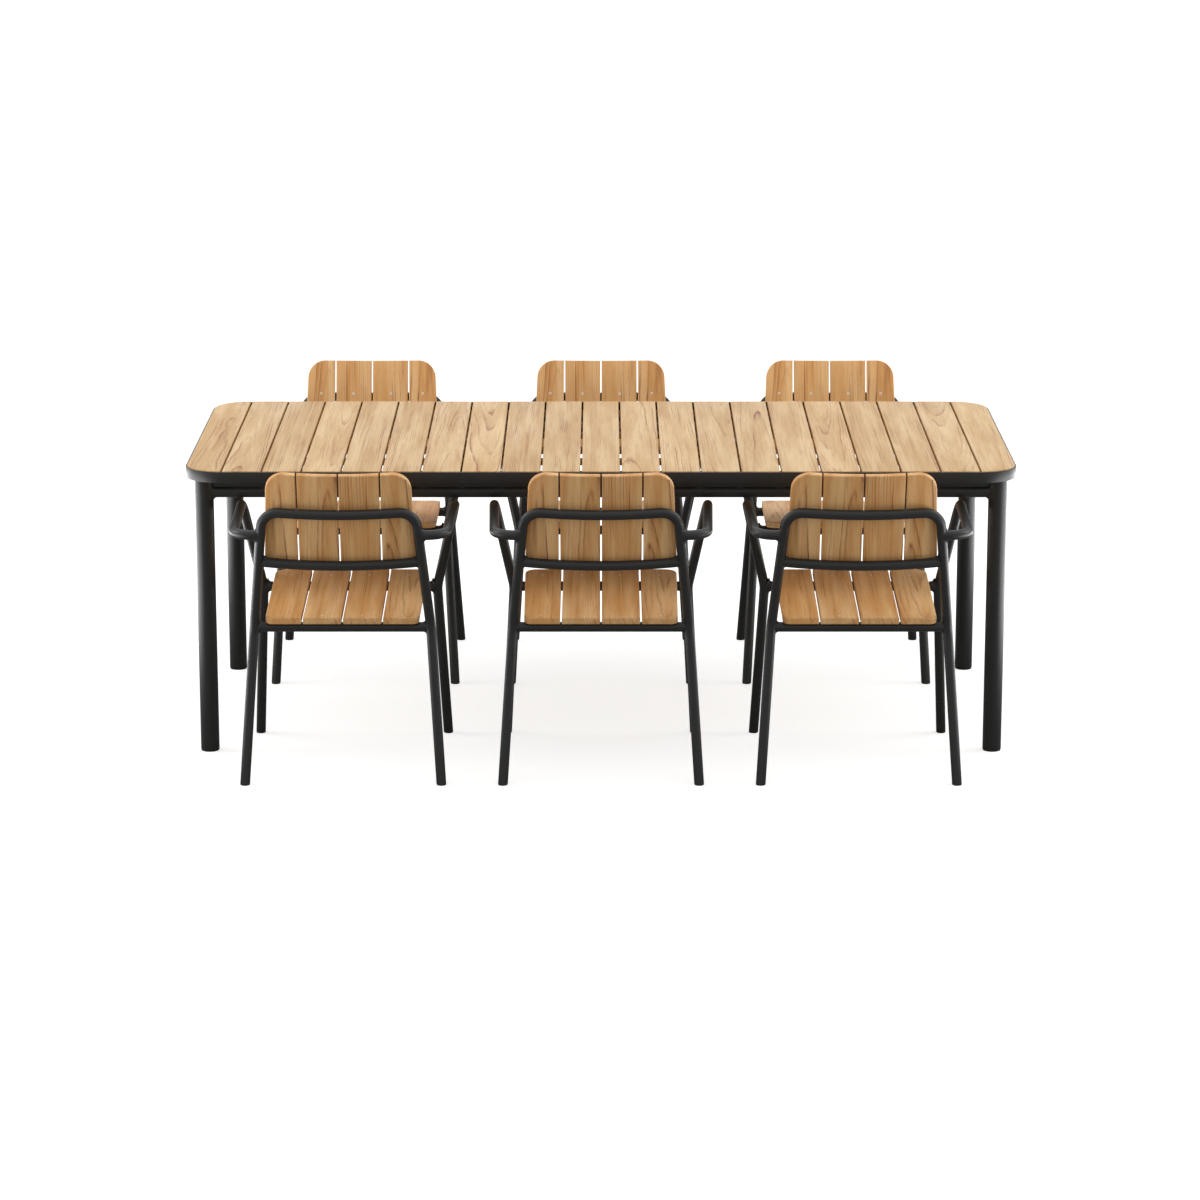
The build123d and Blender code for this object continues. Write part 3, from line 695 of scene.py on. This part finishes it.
def fourBoards(plate, top, bottom, toSpace, columns):
    # two plain boards in the middle, and one at each side that takes the plate's slope and corners
    gap, pitch = plate["gap"] / 2, plate["pitch"]
    outlines = [(plainOutline(x0, x1, plate["low"], plate["high"], 8), (x0 + x1) / 2)
                for x0, x1 in ((-pitch + gap, -gap), (gap, pitch - gap))]
    outlines += [(edgeOutline(pitch + gap, plate, side), side * 1.5 * pitch) for side in (-1, 1)]
    return [board(outline, top, bottom, plate["edge"], columns, toSpace, growTree(middle))
            for outline, middle in outlines]


seatBoards = fourBoards(seat, 0.0, -seat["thick"], seatSpace, 6)
backLow = -(chair["topCornerZ"] - backrest["bottomZ"]) / math.cos(lean)
backrest.update(low=backLow, high=backLow + backrest["height"])
backBoards = fourBoards(backrest, backrest["thick"], 0.0, backSpace, 10)


def screwHead(centre, out, along, around=18):
    # a raised countersunk head turned about its own line, with a plain socket whose six sides lie at
    # recess*cos(30)/cos(angle from the middle of the side)
    side = np.cross(out, along)
    angle = np.linspace(0, 2 * math.pi, around, endpoint=False)
    third, sixth = math.pi / 3, math.pi / 6
    socket = screw["recess"] * math.cos(sixth) / np.cos((angle + sixth) % third - sixth)
    full = np.full(around, screw["radius"])
    profile = [  # radius and height of each ring, from under the rim over the dome into the socket
        (0.55 * full, -screw["skirt"]), (full, 0.0), (0.97 * full, 0.7 * screw["dome"]),
        (0.75 * full, screw["dome"]), (1.02 * socket, screw["dome"]),
        (0.94 * socket, -0.8 * screw["deep"]), (0.2 * socket, -screw["deep"]),
    ]
    spokes = np.cos(angle)[:, None] * along + np.sin(angle)[:, None] * side
    points = np.concatenate([centre + size[:, None] * spokes + height * out for size, height in profile])
    caps = [np.arange(around)[::-1], (len(profile) - 1) * around + np.arange(around)]
    return solid(points, gridFaces(len(profile), around, closed=True), caps)


heads = []
railGap = (chair["frontKink"][1] - kneeY) / math.cos(seat["slope"])
for reach in (0.0, railGap):
    for x in seat["screws"]:
        for side in (-1, 1):
            centre = seatOrigin + side * x * sideways + reach * seatAlong
            heads.append(screwHead(centre, seatUp, seatAlong))
faceBow = bow - r - backrest["thick"]
for up in (backrest["screwRise"], lowerUp):
    for x in backrest["screws"]:
        for side in (-1, 1):
            swing = math.asin(side * x / faceBow)
            out = math.cos(swing) * ahead - math.sin(swing) * sideways
            centre = onBack(side * x, up, bow - math.sqrt(faceBow**2 - x**2))
            heads.append(screwHead(centre, out, upward))


def glidePad(foot, start, around=32):
    # a thin pad under the tube's end, cut level, its rim rounded where it meets the ground
    height = np.array([0.0, glide["edge"] / 3, glide["edge"], footLevel + glide["into"]])
    size = glide["radius"] - glide["edge"] * np.array([1.0, 0.3, 0.0, 0.0])
    way = start - foot
    line = foot + way * ((height - foot[2]) / way[2])[:, None]
    angle = np.linspace(0, 2 * math.pi, around, endpoint=False)[:, None]
    slanting = unit(np.array([way[0], way[1], 0.0]))
    across = np.array([-slanting[1], slanting[0], 0.0])
    longer = np.linalg.norm(way) / way[2]
    ring = longer * np.cos(angle) * slanting + np.sin(angle) * across
    points = line[:, None] + size[:, None, None] * ring
    caps = [np.arange(around)[::-1], (len(height) - 1) * around + np.arange(around)]
    return solid(points.reshape(-1, 3), gridFaces(len(height), around, closed=True), caps)


glides = [glidePad(rearFoot, knee), glidePad(frontFoot, kink)]
glides += [flipX(pad) for pad in glides]

chairPieces = {  # shapes, finish, the CAD nodes they stand for, and slot
    "rear_tube": ([rearTube], charcoalPaint, ["rear_frame"], "frame_paint"),
    "left_arm_tube": ([leftArm], charcoalPaint, ["left_arm_and_leg"], "frame_paint"),
    "right_arm_tube": ([flipX(leftArm)], charcoalPaint, ["right_arm_and_leg"], "frame_paint"),
    "rail_tubes": (rails, charcoalPaint, ["cross_rails"], "frame_paint"),
    "weld_fillets": (joins, charcoalPaint, [], "frame_paint"),
    "seat_boards": (seatBoards, chairTeak, ["seat_slats"], "chair_wood"),
    "back_boards": (backBoards, chairTeak, ["back_slats"], "chair_wood"),
    "screw_heads": (heads, brightSteel, ["screws"], "stainless_screws"),
    "foot_pads": (glides, blackNylon, ["glides"], "glide_plastic"),
}
feetMiddle = (chair["frontFoot"][1] + chair["rearFoot"][1]) / 2
for name in chairNames:
    # the row at the back is given a half turn about the upright line, to face the other way
    low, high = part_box(name + "_glides")
    facing = 1.0 if name.startswith("front") else -1.0
    offset = np.array([(low.x + high.x) / 2, (low.y + high.y) / 2 - facing * feetMiddle, 0.0])
    for label, (shapes, finish, nodes, slot) in chairPieces.items():
        piece(f"{name}_{label}", shapes, finish, name, [f"{name}_{n}" for n in nodes],
              np.array([facing, facing, 1.0]), offset)
print("chairs built:", len(chairNames))

# the CAD pieces that stay get their finish
finishes = {"frame_paint": charcoalPaint, "stainless_screws": brightSteel, "glide_plastic": blackNylon}
for part in frame["record"]["subparts"]:
    node = frame["nodes"][part["node"]]
    if part["material_slot"] in finishes:
        node.data.materials.clear()
        node.data.materials.append(finishes[part["material_slot"]])


studio = {
    "floorColour": "#c9c9c8", "floorGlow": 0.66, "bounceColour": "#9a9a99", "reach": 60.0,
    "background": 1.0, "surround": 0.88,
}
softboxes = {  # place, aim, size and power of each; the low ones lie beside the set and face up
    "above": ((0.0, 0.0, 4.4), (0, 0.001, 0), (8.0, 6.0), 84.0),
    "left": ((-4.8, 0.4, 2.6), (0, 0, 0.5), (2.5, 3.0), 80.0),
    "right": ((4.8, 0.4, 2.6), (0, 0, 0.5), (2.5, 3.0), 75.0),
    "low_left": ((-3.3, 0.6, 0.02), (-3.3, 0.601, 2.0), (3.0, 4.5), 230.0),
    "low_right": ((3.3, 0.6, 0.02), (3.3, 0.601, 2.0), (3.0, 4.5), 230.0),
    "behind": ((0.0, 6.5, 3.6), (0, 0, 0.7), (5.0, 2.5), 40.0),
}
# a lit white sweep: seen directly it glows a little, so that shadows stay faint, and it throws
# back less light than it shows, as a sweep does that is lit on its own
floorPaint, tree = startMaterial("studio_floor_paint")
cameraRay = addNode(tree, "LightPath", {}, "Is Camera Ray")
paint = addNode(tree, "BsdfDiffuse", {"Color": linear(studio["floorColour"])})
glow = addNode(tree, "Emission", {"Strength": studio["floorGlow"]})
shown = addNode(tree, "AddShader", {0: paint, 1: glow})
bounce = addNode(tree, "BsdfDiffuse", {"Color": linear(studio["bounceColour"])})
either = addNode(tree, "MixShader", {0: cameraRay, 1: bounce, 2: shown})
addNode(tree, "OutputMaterial", {0: either})
floorMesh = bpy.data.meshes.new("studio_floor")
corners = np.array([(-1, -1, 0), (1, -1, 0), (1, 1, 0), (-1, 1, 0)]) * studio["reach"]
floorMesh.from_pydata(corners.tolist(), [], [(0, 1, 2, 3)])
floorMesh.materials.append(floorPaint)
floor = bpy.data.objects.new("studio_floor", floorMesh)
bpy.context.scene.collection.objects.link(floor)

sky = bpy.data.worlds.new("studio_surround")
sky.use_nodes = True
sky.node_tree.nodes.clear()
cameraRay = addNode(sky.node_tree, "LightPath", {}, "Is Camera Ray")
strength = addNode(sky.node_tree, "MapRange", {"Value": cameraRay, 3: studio["surround"],
                                               4: studio["background"]})
surround = addNode(sky.node_tree, "Background", {"Strength": strength})
addNode(sky.node_tree, "OutputWorld", {0: surround})
bpy.context.scene.world = sky


def softbox(name, place, aim, size, power):
    # an area light turned to face its aim: tipped from straight down, then swung about upright
    light = bpy.data.lights.new(name, "AREA")
    light.shape = "RECTANGLE"
    light.size, light.size_y = size
    light.energy = power
    made = bpy.data.objects.new(name, light)
    bpy.context.scene.collection.objects.link(made)
    way = np.asarray(aim, float) - np.asarray(place, float)
    made.location = place
    made.visible_camera = False
    made.rotation_euler = (math.acos(-way[2] / np.linalg.norm(way)), 0,
                           math.atan2(way[1], way[0]) - math.pi / 2)


for name, (place, aim, size, power) in softboxes.items():
    softbox("softbox_" + name, place, aim, size, power)

view = {"place": (-0.0026, -10.411, 2.848), "down": math.radians(13.763), "lens": 119.8, "sensor": 36.0}
lens = bpy.data.cameras.new("studio_camera")
lens.lens, lens.sensor_width = view["lens"], view["sensor"]
lens.clip_end = 200.0
camera = bpy.data.objects.new("studio_camera", lens)
camera.location = view["place"]
camera.rotation_euler = (math.pi / 2 - view["down"], 0, 0)
bpy.context.scene.collection.objects.link(camera)
bpy.context.scene.camera = camera
bpy.context.scene.view_settings.view_transform = "Standard"
print("studio ready")
